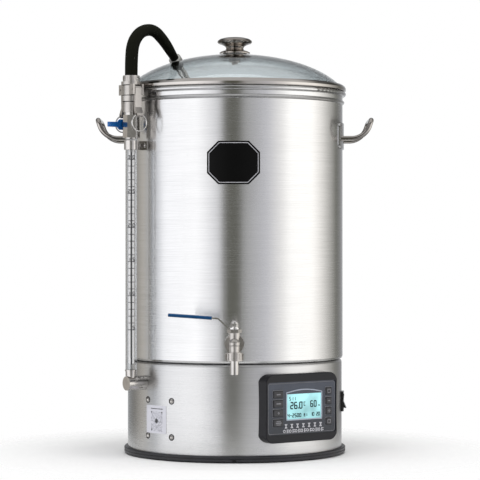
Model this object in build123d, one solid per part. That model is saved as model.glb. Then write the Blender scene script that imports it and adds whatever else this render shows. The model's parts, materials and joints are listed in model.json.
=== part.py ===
from build123d import *
import math
import os

# All-in-one electric brew kettle, about 40 litres. Millimetres, +Z up, origin on the floor
# at the vessel's axis, front (tap, badge) towards -Y. A bearing is an angle in degrees from
# the front towards +X, so that the sight tube on the left has a negative bearing.

# ---- driving dimensions -------------------------------------------------------------
VESSEL_R = 173.0  # outside radius of the vessel's wall
WALL = 1.2  # sheet thickness
SEAM_Z = 151.0  # underside of the vessel, on top of the base shell
RIM_Z = 573.0  # middle of the rolled rim
RIM_ROLL = 4.0  # radius of the rolled rim
BEAD_Z = 559.75  # stiffening bead under the rim
BASE_R = 171.5  # outside radius of the base shell
RING_R = 177.3  # outside radius of the plastic base ring
RING_Z = (1.5, 11.0)  # bottom and top of the base ring
GAP = 0.3  # clearance between bodies that move against each other

TUBE_BEARING = -55.1  # sight tube, valve and coupler
TUBE_OFFSET = 195.5  # their axis from the vessel's axis
TUBE_R = 9.0
TUBE_Z = (138.8, 497.0)
PUMP_PIPE_Z = 117.7
PUMP_PIPE_R = 11.0
PUMP_PIPE_END = 204.7  # capped end of the outlet pipe, from the vessel's axis
RISER_TOP = 132.0  # stub of the outlet pipe that the sight tube stands on
LEVER_Z = 520.0  # axis of the recirculation valve's stem
COUPLER_R = 15.0
PIN_X, PIN_Z = 17.6, 573.0  # cam pins, to each side of the coupler's axis
ARM_TIP_X, ARM_TIP_Z = 23.4, 533.5  # hole for the pull ring in a hanging arm
RING_MEAN_R, RING_WIRE = 13.0, 1.0
BACK_RING_LEAN = 8.0  # the back ring rests against the valve's lever
ADAPTER_R = 12.85

BRACKET_SCREW_X, BRACKET_SCREW_Z = 5.6, 487.0  # in the sight tube's frame

TAP_Z = 184.0
TAP_STEM_Y = -213.0
LEVER_CRANK_X, LEVER_END_X = 25.0, 98.0  # ends of the tap lever's grip, to the left
LEVER_TILT = 4.0  # the grip rises towards its end
STRAP_Z = TAP_Z + 22.0  # underside of the tap lever's flat end
STRAP_T = 2.4
STRAP_RISE = 15.0  # of the crank
SPOUT_R = 6.5
SPOUT_Y = TAP_STEM_Y - 17.5
ELBOW_R = 7.3  # tube of the tap's elbow
SPOUT_Z = (138.9, 159.2)  # ends of the spout's full width
SPOUT_NECK_R = 6.3  # above that, into the nut
UNION_Z = (159.6, 171.4)  # bottom and top of the union nut
UNION_SEAT_Z = 166.3  # where the spout's flange meets the elbow, inside the nut

HANDLE_R = 4.0
HANDLE_HALF = 45.0
HANDLE_REACH = 221.0
HANDLE_Z = (501.0, 530.5)  # middle of the legs and of the cross-bar
PLATE = 2.2  # thickness of the handles' mounting plates, with their weld gap

PANEL_BEARING = 36.0
PANEL_W, PANEL_H = 139.0, 105.0
PANEL_CORNER, PLATE_CORNER = 15.0, 4.5
PANEL_Z = 82.5
PANEL_FACE = 177.0  # distance of the bezel's face from the vessel's axis

FACE_PLATE = (132.0, 80.5)
LCD = (69.0, 43.0)
LCD_X, LCD_Z = 4.6, 2.8  # middle of the display from the panel's centre
LEFT_ROWS = (22.0, 8.0, -6.5, -21.5)
RIGHT_ROWS = (23.5, 8.5, -7.0, -23.5)
# Each button's centre from the panel's centre, and its width and height.
BUTTONS = {f"button_left_{k + 1}": (-46.0, z, 18.0, 10.6) for k, z in enumerate(LEFT_ROWS)}
BUTTONS.update({f"button_right_{k + 1}": (52.0, z, 11.0, 10.6) for k, z in enumerate(RIGHT_ROWS)})

BADGE_W, BADGE_H, BADGE_Z = 81.0, 66.0, 458.0
LABEL_BEARINGS = (-52.7, -37.8)
LABEL_Z = (41.0, 84.0)
BASE_SCREWS = [(b, z) for b in (-51.7, -34.4) for z in (36.4, 92.0)]
SWITCH_BEARING, SWITCH_Z = 84.0, 82.8
INLET_Z = 60.0  # mains inlet, at the back

LID_TOP = 637.5  # apex of the glass
GLASS = 4.0
DOME_RX, DOME_RZ = 185.0, 85.0  # half axes of the ellipsoid that the glass is a cap of
GLASS_EDGE_Z = 584.5
GLASS_HOLE_R = 8.3  # hole for the hose's grommet

LIP_Z = RIM_Z + RIM_ROLL + GAP  # underside of the lid's ring, on the rim
KNOB_Z = LID_TOP + 1.9  # underside of the knob's flange

BASKET_R = 152.0
BASKET_Z = (172.0, 552.0)

HEATER_R = 122.0
PROBE = (0.0, 62.0, SEAM_Z)  # temperature probe through the vessel's bottom
PUMP_DISTANCE, PUMP_SIDE = 78.0, -26.0  # pump's axis along the tube's bearing, and beside it
PUMP_CENTRE = Vector(
    PUMP_DISTANCE * math.sin(math.radians(TUBE_BEARING)) + PUMP_SIDE * math.cos(math.radians(TUBE_BEARING)),
    -PUMP_DISTANCE * math.cos(math.radians(TUBE_BEARING)) + PUMP_SIDE * math.sin(math.radians(TUBE_BEARING)),
    0,
)
PUMP_INLET = (PUMP_CENTRE.X, PUMP_CENTRE.Y, SEAM_Z)
VOLUTE_Z = (98.0, 134.0)
VOLUTE_R = 37.0

HOSE_D = 18.0
# Route of the hose: from the adapter on the coupler, over, and down to the lid's grommet.
HOSE_ROUTE = [
    (-160.34, -111.86, 595.0),
    (-160.34, -111.86, 624.0),
    (-157.5, -108.5, 648.0),
    (-146.0, -94.5, 666.5),
    (-127.5, -69.5, 671.5),
    (-112.5, -45.5, 656.0),
    (-103.0, -28.5, 641.5),
    (-96.2, -16.5, 630.5),
]
HOSE_END = Vector(*HOSE_ROUTE[-1])
HOSE_DOWN = (HOSE_END - Vector(*HOSE_ROUTE[-2])).normalized()

os.makedirs("parts", exist_ok=True)


# ---- helpers ------------------------------------------------------------------------
def polar(bearing, radius, z=0.0):
    """The point at a bearing from the front and a distance from the vessel's axis."""
    a = math.radians(bearing)
    return Vector(radius * math.sin(a), -radius * math.cos(a), z)


def at_bearing(bearing, radius=0.0, z=0.0):
    """A frame whose local +Y points inwards, +X sideways and +Z up, so that local -Y looks out."""
    return Pos(*polar(bearing, radius, z)) * Rot(0, 0, bearing)


def tube_frame(z=0.0):
    """The sight tube's frame: +X is tangential towards the front, -Y is radial outwards."""
    return at_bearing(TUBE_BEARING, TUBE_OFFSET, z)


def cyl(r, z0, z1):
    """A cylinder about Z from z0 to z1."""
    return Pos(0, 0, (z0 + z1) / 2) * Cylinder(r, z1 - z0)


def pipe(r_out, r_in, z0, z1):
    """A plain tube about Z."""
    return cyl(r_out, z0, z1) - cyl(r_in, z0 - 1, z1 + 1)


def rod(start, end, r):
    """A round bar between two points."""
    a, b = Vector(*start), Vector(*end)
    middle = Plane(origin=(a + b) * 0.5, z_dir=b - a)
    return middle.location * Cylinder(r, (b - a).length)


def block(x0, x1, y0, y1, z0, z1):
    """A box between two corners."""
    centre = Pos((x0 + x1) / 2, (y0 + y1) / 2, (z0 + z1) / 2)
    return centre * Box(x1 - x0, y1 - y0, z1 - z0)


def hexagon(across, z0, z1):
    """A hexagonal bar about Z, by its width across flats."""
    side = across / math.sqrt(3)
    return Pos(0, 0, z0) * extrude(RegularPolygon(side, 6), z1 - z0)


def lathe(points):
    """A closed outline of (radius, z) points turned about Z."""
    wire = Polyline(*[(r, 0, z) for r, z in points], close=True)
    return revolve(make_face(wire), Axis.Z)


def dome_head(r, height):
    """A round screw head that stands out of the plane Z = 0."""
    ball_r = (r * r + height * height) / (2 * height)
    ball = Pos(0, 0, height - ball_r) * Sphere(ball_r)
    return ball & cyl(r + 1, 0, height + 1)


def save(name, *shapes):
    """Writes one node; several shapes stay separate solids."""
    solids = [s for shape in shapes for s in shape.solids()]
    body = solids[0] if len(solids) == 1 else Compound(children=solids)
    export_step(body, f"parts/{name}.step")


# ---- vessel -------------------------------------------------------------------------
def vessel():
    """One-piece pot with a flat floor, a bead and a rolled rim."""
    r, z0 = VESSEL_R, SEAM_Z
    top = RIM_Z - RIM_ROLL
    shell = lathe(
        [
            (0, z0),
            (r - 4, z0),
            (r - 1.2, z0 + 1.2),
            (r, z0 + 4),
            (r, BEAD_Z - 3.2),
            (r + 2, BEAD_Z - 2),
            (r + 3, BEAD_Z),
            (r + 2, BEAD_Z + 2),
            (r, BEAD_Z + 3.2),
            (r, top + 1),
            (r - WALL, top + 1),
            (r - WALL, z0 + 4),
            (r - 3, z0 + 1.6),
            (r - 5, z0 + WALL),
            (0, z0 + WALL),
        ]
    )
    rim_centre = VESSEL_R + 5.3 - RIM_ROLL
    rim = Pos(0, 0, RIM_Z) * Torus(rim_centre, RIM_ROLL)
    shell = shell + rim
    shell -= at_bearing(0, r, TAP_Z) * Rot(90, 0, 0) * Cylinder(10.2, 20)
    shell -= Pos(*PUMP_INLET) * Cylinder(8.1, 10)
    shell -= Pos(*PROBE) * Cylinder(4.1, 10)
    return shell


# ---- base ---------------------------------------------------------------------------
def panel_frame():
    return at_bearing(PANEL_BEARING, PANEL_FACE, PANEL_Z)


def base_shell():
    """The cylinder that carries the vessel, with a rounded shoulder and a top flange."""
    r, top = BASE_R, SEAM_Z - 0.8
    outline = [(r, RING_Z[1] - 6), (r, top - 5)]
    outline += [
        (r - 5 + 5 * math.cos(math.radians(a)), top - 5 + 5 * math.sin(math.radians(a)))
        for a in (22.5, 45, 67.5)
    ]
    outline += [
        (r - 5, top),
        (150, top),
        (150, top - WALL),
        (r - 5.5, top - WALL),
        (r - WALL, top - 6),
        (r - WALL, RING_Z[1] - 6),
    ]
    shell = lathe(outline)
    shell -= panel_frame() * block(-66.7, 66.7, -4, 40, -43.7, 43.7)
    shell -= at_bearing(SWITCH_BEARING, BASE_R, SWITCH_Z) * Box(15.5, 40, 26.5)
    shell -= at_bearing(180, BASE_R, INLET_Z) * Box(28, 40, 20)
    shell -= (
        at_bearing(TUBE_BEARING, BASE_R, PUMP_PIPE_Z)
        * Rot(90, 0, 0)
        * Cylinder(PUMP_PIPE_R + 0.1, 30)
    )
    for bearing, z in BASE_SCREWS:
        shell -= at_bearing(bearing, BASE_R, z) * Rot(90, 0, 0) * Cylinder(1.6, 12)
    return shell


def base_ring():
    """Plastic foot ring round the bottom edge, with a drain notch at the front."""
    z0, z1 = RING_Z
    ring = lathe(
        [
            (158, z0),
            (RING_R - 1.5, z0),
            (RING_R, z0 + 1.5),
            (RING_R, z0 + 4.4),
            (RING_R - 0.9, z0 + 4.8),
            (RING_R - 0.9, z0 + 5.6),
            (RING_R, z0 + 6.0),
            (RING_R, z1 - 1.2),
            (RING_R - 1.2, z1),
            (BASE_R + 0.05, z1),
            (BASE_R + 0.05, z1 - 6),
            (BASE_R - WALL - 2, z1 - 6),
            (158, z1 - 6),
        ]
    )
    return ring - block(-3, 3, -RING_R - 2, -RING_R + 9, z0 - 1, z0 + 4)


def bottom_cover():
    """Steel plate that closes the base, with cooling slots; it rests in the base ring."""
    z0 = RING_Z[1] - 6
    plate = cyl(165, z0, z0 + 1.5)
    for row in range(-3, 4):
        for x in (-48, 48):
            plate -= Pos(x, row * 14, z0 + 0.75) * Box(60, 5, 4)
    return plate


def feet():
    """Four rubber feet under the base ring and cover."""
    spots = [polar(b, 145.0) for b in (45, 135, 225, 315)]
    return [Pos(p.X, p.Y, 0) * (cyl(13, 0, 5) - cyl(4, -1, 1.5)) for p in spots]


# ---- heating and sensing ------------------------------------------------------------
def heater_plate():
    """Aluminium spreader disc under the vessel's floor."""
    plate = cyl(140, SEAM_Z - 5, SEAM_Z)
    plate -= Pos(*PUMP_INLET) * Cylinder(11.5, 20)
    plate -= Pos(*PROBE) * Cylinder(7, 20)
    return plate


def heating_element():
    """Tubular element in a ring under the spreader, with its two cold ends."""
    z = SEAM_Z - 5 - 4.3
    gap = 16
    path = CenterArc((0, 0, z), HEATER_R, 90 + gap, 360 - 2 * gap)
    start = path @ 0
    ring = sweep(Plane(origin=start, z_dir=path % 0) * Circle(4.2), path=path)
    ends = []
    for sign in (0, 1):
        p = path @ sign
        ends.append(cyl(3.0, z - 22, z).moved(Location((p.X, p.Y, 0))))
    return ring + ends[0] + ends[1]


def temperature_sensor():
    """Probe that stands up through the vessel's floor, with its nut underneath."""
    probe = cyl(4, SEAM_Z - 12, SEAM_Z + 12) + Pos(0, 0, SEAM_Z + 12) * Sphere(4)
    probe += cyl(6.5, SEAM_Z - 4, SEAM_Z - 0.05)
    return Pos(PROBE[0], PROBE[1], 0) * probe


def thermal_cutout():
    """Resettable thermal cut-out under the spreader."""
    body = block(-14, 14, -8, 8, SEAM_Z - 19, SEAM_Z - 5) + cyl(3, SEAM_Z - 23, SEAM_Z - 19)
    return Pos(48, 60, 0) * body


# ---- recirculation pump -------------------------------------------------------------
def pump_frame():
    return Pos(PUMP_CENTRE.X, PUMP_CENTRE.Y, 0) * Rot(0, 0, TUBE_BEARING)


def pump_motor():
    """Motor can under the volute."""
    can = cyl(29, 38, 90) + cyl(34, 90, VOLUTE_Z[0]) + cyl(24, 30, 38)
    can -= cyl(20, 28, 32)
    return pump_frame() * can


def pump_bracket():
    """Foot that holds the motor up from the bottom cover."""
    z0 = RING_Z[1] - 4.5
    foot = pipe(33, 24.2, z0, 38) + block(-48, 48, -12, 12, z0, z0 + 3)
    foot -= cyl(24.2, z0 - 1, 40)
    for x in (-42, 42):
        foot -= Pos(x, 0, z0) * Cylinder(2.5, 10)
    return pump_frame() * foot


def pump_volute():
    """Pump housing with a central inlet on top and a tangential outlet."""
    z0, z1 = VOLUTE_Z
    body = cyl(VOLUTE_R, z0, z1) + cyl(11, z1, z1 + 4)
    outlet_x = VOLUTE_R - PUMP_PIPE_R
    outlet = Pos(outlet_x, -25, PUMP_PIPE_Z) * Rot(90, 0, 0) * Cylinder(PUMP_PIPE_R, 30)
    bore = Pos(outlet_x, -25, PUMP_PIPE_Z) * Rot(90, 0, 0) * Cylinder(8, 40)
    body = body + outlet
    body -= cyl(VOLUTE_R - 3, z0 + 3, z1 - 3)
    body -= cyl(6, z1 - 4, z1 + 5)
    return pump_frame() * (body - bore)


def pump_impeller():
    """Impeller with curved vanes, free inside the volute."""
    z0, z1 = VOLUTE_Z[0] + 5, VOLUTE_Z[1] - 6
    wheel = cyl(30, z0, z0 + 3) + cyl(7, z0, z1)
    for k in range(6):
        vane = Rot(0, 0, 60 * k) * Pos(17, 4, 0) * Rot(0, 0, 28) * block(-11, 11, -1, 1, z0, z1 - 4)
        wheel += vane
    wheel &= cyl(30, z0, z1)
    return pump_frame() * wheel


def pump_inlet_pipe():
    """Stub from the vessel's floor down to the pump, with its nut inside the vessel."""
    z0 = VOLUTE_Z[1] + 4
    stub = cyl(8, z0, SEAM_Z + 5) + cyl(11, SEAM_Z + WALL + 0.05, SEAM_Z + 5)
    stub += cyl(11, z0, SEAM_Z - 5)
    stub -= cyl(6, z0 - 1, SEAM_Z + 8)
    return Pos(PUMP_CENTRE.X, PUMP_CENTRE.Y, 0) * stub


def pump_outlet_pipe():
    """Horizontal pipe from the pump through the base shell, with a riser for the sight tube."""
    inner, outer = 118.0, PUMP_PIPE_END
    middle = (inner + outer) / 2
    lie = Rot(90, 0, 0)
    body = at_bearing(TUBE_BEARING, middle, PUMP_PIPE_Z) * lie * Cylinder(PUMP_PIPE_R, outer - inner)
    riser = tube_frame() * cyl(6.8, PUMP_PIPE_Z, RISER_TOP)
    hollow = at_bearing(TUBE_BEARING, middle - 2, PUMP_PIPE_Z) * lie * Cylinder(9, outer - inner)
    drop = tube_frame() * cyl(5, PUMP_PIPE_Z, RISER_TOP + 1)
    return body + riser - hollow - drop


# ---- sight tube ---------------------------------------------------------------------
def tube_ferrule():
    """Collar between the riser and the sight tube."""
    z0, z1 = PUMP_PIPE_Z + PUMP_PIPE_R + 0.1, TUBE_Z[0] - 0.05
    collar = pipe(8.9, 6.85, z0, z1) + pipe(9.8, 6.85, z1 - 2, z1)
    collar += pipe(7, 5, RISER_TOP + 0.05, z1)
    return tube_frame() * collar


def sight_tube():
    """Clear tube that shows the level and carries the recirculated wort."""
    return tube_frame() * pipe(TUBE_R, TUBE_R - 2.2, *TUBE_Z)


def tube_bracket():
    """Standoff from the vessel's wall to a split clip round the sight tube."""
    z0, z1 = 480.0, 494.0
    clip = pipe(TUBE_R + 2.2, TUBE_R + 0.05, z0, z1)
    wall = TUBE_OFFSET - VESSEL_R
    arm = block(-1.2, 1.2, TUBE_R + 1, wall - 0.6, z0, z1)
    pad = block(-8, 12, wall - 1.6, wall + 2, z0, z1)
    hole = Pos(BRACKET_SCREW_X, wall, BRACKET_SCREW_Z) * Rot(90, 0, 0) * Cylinder(1.6, 10)
    body = tube_frame() * (clip + arm + pad - hole)
    keep_out = cyl(VESSEL_R + 0.05, z0 - 5, z1 + 5)
    return body - keep_out


def bracket_screw():
    """Dome-headed screw through the bracket's pad."""
    seat = TUBE_OFFSET - VESSEL_R - 1.65
    place = tube_frame() * Pos(BRACKET_SCREW_X, seat, BRACKET_SCREW_Z) * Rot(90, 0, 0)
    return place * (dome_head(3.6, 2.6) + cyl(1.5, -1.2, 0.5))


# ---- recirculation valve ------------------------------------------------------------
def valve_nut():
    """Gland nut between the sight tube and the valve."""
    z0, z1 = TUBE_Z[1], 511.0
    nut = hexagon(23, z0 + 1.5, z1) + cyl(10.2, z0 + 0.05, z0 + 1.6)
    return tube_frame() * (nut - cyl(5, z0 - 1, z1 + 1))


def recirc_valve_body():
    """Hexagonal ball valve body with a stem boss on the back side."""
    z0, z1 = 511.05, 537.7
    body = hexagon(22, z0, z1 - 4) + cyl(11.4, z1 - 4, z1)
    boss = Pos(-11, 0, LEVER_Z) * Rot(0, 90, 0) * Cylinder(6.5, 12)
    body = body + boss
    body -= cyl(5, z0 - 1, LEVER_Z - 6)
    body -= cyl(5, LEVER_Z + 6, z1 + 1)
    body -= Pos(0, 0, LEVER_Z) * Sphere(8.2)
    body -= Pos(-12, 0, LEVER_Z) * Rot(0, 90, 0) * Cylinder(3.05, 16)
    return tube_frame() * body


def recirc_valve_ball():
    """Ball and stem of the recirculation valve; its bore lies across the flow when closed."""
    ball = Pos(0, 0, LEVER_Z) * Sphere(8.0)
    ball -= Pos(0, 0, LEVER_Z) * Rot(90, 0, 0) * Cylinder(4.6, 20)
    stem = Pos(-14.5, 0, LEVER_Z) * Rot(0, 90, 0) * Cylinder(3.0, 15)
    return tube_frame() * (ball + stem)


def recirc_lever():
    """Blue lever: a round hub that narrows to a flat arm pointing away from the vessel."""
    hub = Rot(0, 90, 0) * Cylinder(8.5, 5)
    upper_edge = [(4, 8.4), (-7.8, 8.2), (-12, 4.0), (-29, 3.8)]
    lower_edge = [(y, -z) for y, z in reversed(upper_edge)]
    with BuildPart() as arm:
        with BuildSketch(Plane.YZ):
            with BuildLine():
                Polyline(*upper_edge, *lower_edge, close=True)
            make_face()
        extrude(amount=2, both=True)
    body = hub + arm.part
    body -= Rot(0, 90, 0) * Cylinder(3.05, 12)
    return tube_frame() * Pos(-21.5, 0, LEVER_Z) * body


def recirc_lever_nut():
    """Nut that holds the lever on the stem; it is threaded on a short stud."""
    nut = Rot(0, 90, 0) * (cyl(4.2, 0, 1.8) - cyl(1.0, -1, 3))
    return tube_frame() * Pos(-24.05, 0, LEVER_Z) * Rot(0, 0, 180) * nut


# ---- cam-lock coupler ---------------------------------------------------------------
def coupler():
    """Female cam-lock body with ears for the two arms."""
    tail = cyl(13, 537.75, 555.5)
    body = cyl(COUPLER_R, 555, 563.5) + cyl(13.4, 563.5, 580.5) + cyl(COUPLER_R + 0.6, 580.5, 585.5)
    body = tail + body
    for side in (-1, 1):
        for y in (-8.2, 8.2):
            ear = block(10, 21, y - 1.6, y + 1.6, 565, 581)
            body += Rot(0, 0, 90 - 90 * side) * ear
    body -= cyl(11.6, 556, 590)
    body -= cyl(6, 530, 560)
    for side in (-1, 1):
        window = block(8, 16, -6.3, 6.3, 565.8, 580.4)
        body -= Rot(0, 0, 90 - 90 * side) * window
        body -= Pos(side * PIN_X, 0, PIN_Z) * Rot(90, 0, 0) * Cylinder(1.5, 24)
    return tube_frame() * body


def cam_pins():
    """The two pins that the cam arms turn on."""
    return [
        tube_frame() * Pos(side * PIN_X, 0, PIN_Z) * Rot(90, 0, 0) * Cylinder(1.5, 21.5)
        for side in (1, -1)
    ]


def cam_arm(side):
    """Cam arm that hangs beside the coupler: cam lobe, flat shank and a flared tip with a hole."""
    with BuildPart() as arm:
        with BuildSketch(Plane.XZ):
            with BuildLine():
                Polyline(
                    (13.2, 576.2),
                    (15.0, 577.8),
                    (19.5, 577.8),
                    (21.6, 574.5),
                    (21.2, 565),
                    (20.6, 545),
                    (26.0, 536),
                    (26.6, 532.2),
                    (23.8, 529.8),
                    (20.6, 531.5),
                    (16.4, 543),
                    (16.2, 560),
                    (15.6, 566.5),
                    (13.2, 570.0),
                    close=True,
                )
            make_face()
        extrude(amount=5.7, both=True)
    body = arm.part
    body -= Pos(PIN_X, 0, PIN_Z) * Rot(90, 0, 0) * Cylinder(1.56, 20)
    body -= Pos(ARM_TIP_X, 0, ARM_TIP_Z) * Rot(90, 0, 0) * Cylinder(2.1, 20)
    return tube_frame() * Rot(0, 0, 90 - 90 * side) * body


def pull_ring(side, lean):
    """Wire ring that hangs through the arm's tip; a lean tips it outwards."""
    ring = Rot(0, 90, 0) * Torus(RING_MEAN_R, RING_WIRE)
    hung = Pos(0, 0, -RING_MEAN_R + 0.6) * ring
    place = Pos(ARM_TIP_X, 0, ARM_TIP_Z) * Rot(0, -lean, 0)
    return tube_frame() * Rot(0, 0, 90 - 90 * side) * place * hung


# ---- side handles -------------------------------------------------------------------
def handle(side):
    """Bent rod: two legs out of the wall, curving up to a cross-bar."""
    z0, z1 = HANDLE_Z
    wall = math.sqrt(VESSEL_R**2 - HANDLE_HALF**2)
    reach = HANDLE_REACH - HANDLE_R
    points = [
        (wall, -HANDLE_HALF, z0),
        (reach - 10, -HANDLE_HALF, z0),
        (reach, -HANDLE_HALF + 2, z1),
        (reach, HANDLE_HALF - 2, z1),
        (reach - 10, HANDLE_HALF, z0),
        (wall, HANDLE_HALF, z0),
    ]
    path = FilletPolyline(*points, radius=[30, 9, 9, 30])
    bar = sweep(Plane(origin=path @ 0, z_dir=path % 0) * Circle(HANDLE_R), path=path)
    bar -= cyl(VESSEL_R + PLATE + 0.1, z0 - 10, z1 + 20)
    return Rot(0, 0, 90 - 90 * side) * bar


def handle_plate(side):
    """Curved plate that the handle's legs are welded to."""
    inner, outer = VESSEL_R + 0.05, VESSEL_R + PLATE
    z0, z1 = 485.0, 526.0
    band = pipe(outer, inner, z0, z1)
    keep = Pos(VESSEL_R, 0, (z0 + z1) / 2) * Rot(0, 90, 0) * extrude(
        RectangleRounded(z1 - z0, 108, 8), 30, both=True
    )
    return Rot(0, 0, 90 - 90 * side) * (band & keep)


# ---- tap ----------------------------------------------------------------------------
def along_tap(r, y0, y1):
    """A cylinder along Y at the tap's height."""
    return Pos(0, (y0 + y1) / 2, TAP_Z) * Rot(90, 0, 0) * Cylinder(r, abs(y1 - y0))


def tap_bulkhead():
    """Threaded bulkhead through the vessel's wall with an outside hexagon."""
    hex_bar = Pos(0, -VESSEL_R - 3.2, TAP_Z) * Rot(90, 0, 0) * hexagon(27, 0, 9)
    body = along_tap(10, -VESSEL_R + 16, -VESSEL_R - 14) + hex_bar
    return body - along_tap(6.5, -VESSEL_R + 20, -VESSEL_R - 20)


def tap_gasket():
    """Silicone washer between the hexagon and the wall."""
    wall = cyl(VESSEL_R + 0.05, TAP_Z - 20, TAP_Z + 20)
    washer = along_tap(14.5, -VESSEL_R + 1, -VESSEL_R - 3.15)
    washer -= along_tap(10.05, -VESSEL_R + 3, -VESSEL_R - 6)
    return washer - wall


def tap_locknut():
    """Nut on the bulkhead inside the vessel."""
    place = Pos(0, -VESSEL_R + 5, TAP_Z) * Rot(-90, 0, 0)
    return place * (hexagon(29, 0, 6) - cyl(10.02, -1, 8))


def tap_body():
    """Ball-valve body: horizontal barrel, bonnet boss on top, elbow down at the front."""
    wall = -VESSEL_R
    body = along_tap(14.5, wall - 14.05, TAP_STEM_Y - 2.5)
    body += along_tap(12.0, TAP_STEM_Y - 3, TAP_STEM_Y - 5.5)
    body += Pos(0, TAP_STEM_Y, 0) * cyl(8.5, TAP_Z + 6, TAP_Z + 16.5)
    body = body - Pos(0, SPOUT_Y, 0) * cyl(20, TAP_Z - 20, UNION_Z[1] + 0.1)
    body += along_tap(ELBOW_R + 0.3, TAP_STEM_Y - 4, SPOUT_Y)
    body += Pos(0, SPOUT_Y, TAP_Z + 0.8) * Sphere(ELBOW_R + 0.9)
    body += Pos(0, SPOUT_Y, 0) * cyl(ELBOW_R, UNION_SEAT_Z + 1, TAP_Z)
    body += Pos(0, SPOUT_Y, 0) * cyl(10.9, UNION_SEAT_Z, UNION_Z[1] + 0.8)
    body -= along_tap(6.5, wall - 10, TAP_STEM_Y + 6)
    body -= along_tap(4.8, TAP_STEM_Y - 6, SPOUT_Y - 1)
    body -= Pos(0, SPOUT_Y, 0) * cyl(5.2, UNION_SEAT_Z - 1, TAP_Z + 1)
    body -= Pos(0, TAP_STEM_Y, TAP_Z) * Sphere(10.2)
    body -= Pos(0, TAP_STEM_Y, 0) * cyl(4.05, TAP_Z, TAP_Z + 24)
    return body


def tap_ball():
    """Ball and stem of the tap; its bore lies across the flow when closed."""
    ball = Pos(0, TAP_STEM_Y, TAP_Z) * Sphere(9.9)
    ball -= Pos(0, TAP_STEM_Y, TAP_Z) * Rot(0, 90, 0) * Cylinder(6.0, 24)
    stem = Pos(0, TAP_STEM_Y, 0) * (cyl(4.0, TAP_Z + 6, TAP_Z + 25.6) + cyl(2.6, TAP_Z + 25.6, TAP_Z + 32))
    return ball + stem


def tap_bonnet():
    """Packing nut round the stem."""
    nut = hexagon(19, TAP_Z + 16.55, STRAP_Z - 0.4) - cyl(4.06, TAP_Z + 15, STRAP_Z + 2)
    return Pos(0, TAP_STEM_Y, 0) * nut


def tap_lever():
    """Cranked lever strap: flat on the stem, rising to a slightly tilted grip towards -X."""
    z0, z1 = STRAP_Z, STRAP_Z + STRAP_RISE
    rise = (LEVER_END_X - LEVER_CRANK_X) * math.tan(math.radians(LEVER_TILT))
    outline = [
        (9, z0),
        (9, z0 + STRAP_T),
        (-8, z0 + STRAP_T),
        (-LEVER_CRANK_X, z1 + STRAP_T),
        (-LEVER_END_X, z1 + STRAP_T + rise),
        (-LEVER_END_X, z1 + rise),
        (-LEVER_CRANK_X, z1),
        (-8.6, z0),
    ]
    face = make_face(Polyline(*[(x, 0, z) for x, z in outline], close=True))
    strap = extrude(face, 6.5, both=True)
    strap += cyl(9, z0, z0 + STRAP_T)
    strap -= cyl(4.02, z0 - 1, z0 + 4)
    return Pos(0, TAP_STEM_Y, 0) * strap


def tap_lever_sleeve():
    """Vinyl sleeve over the lever's grip."""
    outer = Pos(-42, 0, 0) * Box(66, 15, 5.2)
    outer = fillet(outer.edges().filter_by(Axis.X), 2.2)
    outer = fillet(outer.faces().sort_by(Axis.X)[0].edges(), 1.6)
    inner = Pos(-40.3, 0, 0) * Box(66, 13.04, 2.44)
    crank = (-LEVER_CRANK_X, TAP_STEM_Y, STRAP_Z + STRAP_RISE + STRAP_T / 2)
    return Pos(*crank) * Rot(0, LEVER_TILT, 0) * (outer - inner)


def tap_lever_nut():
    """Domed nut on top of the stem that clamps the lever."""
    z0 = STRAP_Z + STRAP_T + 0.05
    nut = hexagon(10, z0 + 1.2, z0 + 6.6) + cyl(5.8, z0, z0 + 1.3)
    dome = Pos(0, 0, z0 + 6.5) * Sphere(4.9)
    nut += dome - cyl(8, z0, z0 + 6.5)
    nut -= cyl(2.62, z0 + 1.2, TAP_Z + 32.5)
    nut -= cyl(4.02, z0 - 1, z0 + 1.25)
    return Pos(0, TAP_STEM_Y, 0) * nut


def tap_union_nut():
    """Ribbed union nut under the elbow."""
    z0, z1 = UNION_Z
    nut = cyl(12.9, z0, z1)
    for k in range(16):
        nut += Rot(0, 0, 22.5 * k) * block(10, 13.8, -1.3, 1.3, z0 + 1, z1 - 1)
    nut -= cyl(SPOUT_NECK_R + 0.03, z0 - 1, z0 + 4)
    nut -= cyl(11.05, z0 + 3.5, z1 + 1)
    return Pos(0, SPOUT_Y, 0) * nut


def tap_spout():
    """Straight spout with a shoulder held by the union nut."""
    z0, z1 = UNION_Z
    top = UNION_SEAT_Z - 0.1
    spout = cyl(SPOUT_R, *SPOUT_Z) + cyl(SPOUT_NECK_R, SPOUT_Z[1], top) + cyl(10.9, z0 + 3.6, top)
    return Pos(0, SPOUT_Y, 0) * (spout - cyl(4.8, 130, z1 + 1))


# ---- badge and label ----------------------------------------------------------------


def badge():
    """Blank front plate with cut corners, curved to the vessel."""
    w, h, cut = BADGE_W / 2, BADGE_H / 2, 17.0
    outline = [
        (-w, -h + cut),
        (-w + cut, -h),
        (w - cut, -h),
        (w, -h + cut),
        (w, h - cut),
        (w - cut, h),
        (-w + cut, h),
        (-w, h - cut),
    ]
    face = make_face(Polyline(*[(x, 0, z) for x, z in outline], close=True))
    face = Pos(-1.5, 0, BADGE_Z) * face
    cutter = extrude(face, VESSEL_R + 20, dir=(0, -1, 0))
    return pipe(VESSEL_R + 0.95, VESSEL_R + 0.05, 400, 520) & cutter




def label_plate():
    """Blank rating label on the base shell."""
    middle = sum(LABEL_BEARINGS) / 2
    half = BASE_R * math.sin(math.radians((LABEL_BEARINGS[1] - LABEL_BEARINGS[0]) / 2))
    keep = at_bearing(middle, BASE_R, sum(LABEL_Z) / 2) * Box(2 * half, 30, LABEL_Z[1] - LABEL_Z[0])
    return pipe(BASE_R + 0.45, BASE_R + 0.05, *LABEL_Z) & keep


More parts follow.
